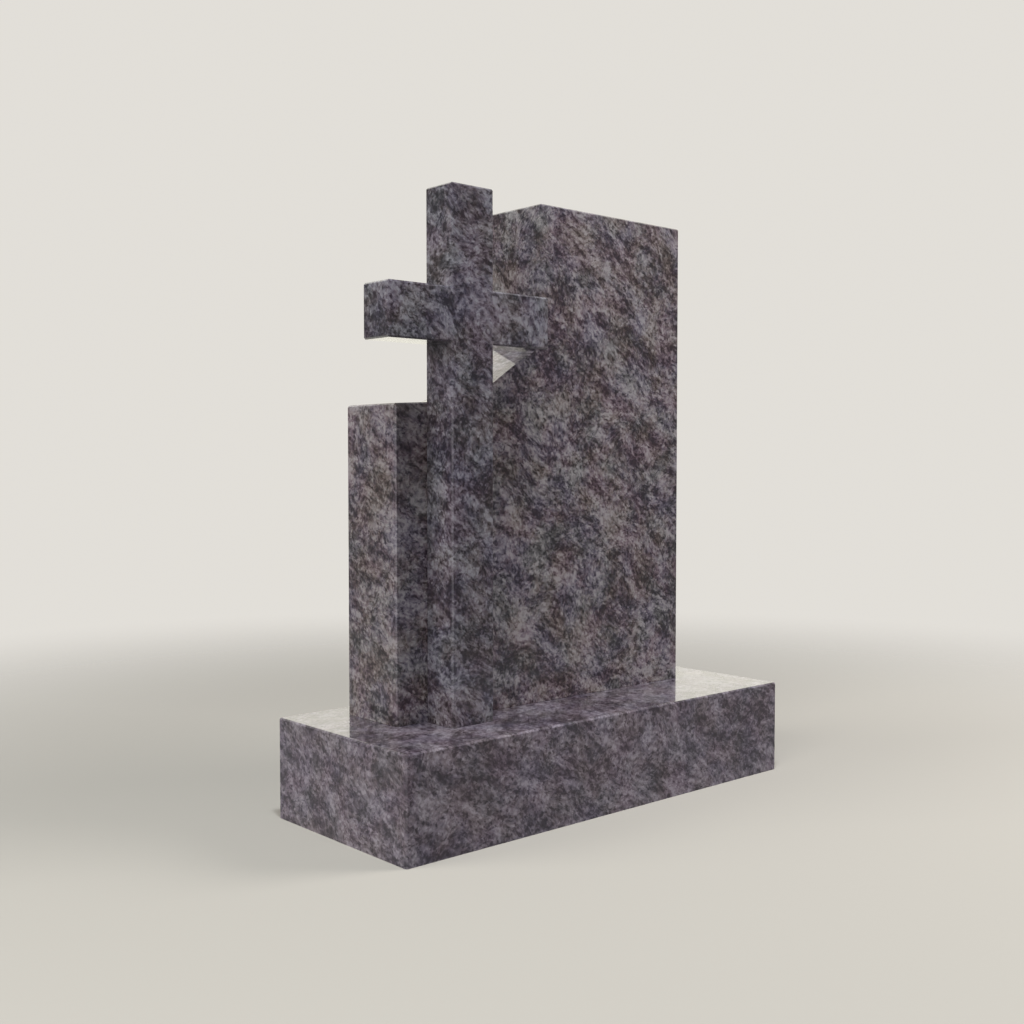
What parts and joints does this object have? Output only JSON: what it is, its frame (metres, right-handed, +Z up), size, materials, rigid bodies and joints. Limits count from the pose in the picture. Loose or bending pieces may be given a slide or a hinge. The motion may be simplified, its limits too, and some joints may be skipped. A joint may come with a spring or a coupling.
{
  "type": "cross memorial",
  "caption": "Upright memorial in dark polished granite: a flat Latin cross stands before a stepped slab with a low wing, a ramp and a tower, on an oblong plinth.",
  "frame": {"origin": "middle of the plinth's underside, which is the middle of the foot of the bounding box", "axes": "+Z up; +X along the plinth's length, to the right of someone facing the memorial; +Y from the front, where the cross is, to the back"},
  "size_m": [0.8, 0.317, 0.9395],
  "materials": {
    "plinth_granite": "polished dark granite with violet-grey flecks",
    "stele_granite": "polished dark granite with violet-grey flecks",
    "cross_granite": "polished dark granite with violet-grey flecks"
  },
  "bodies": {
    "root": {"plinth": "plinth_granite", "stele": "stele_granite", "cross": "cross_granite"}
  },
  "joints": []
}
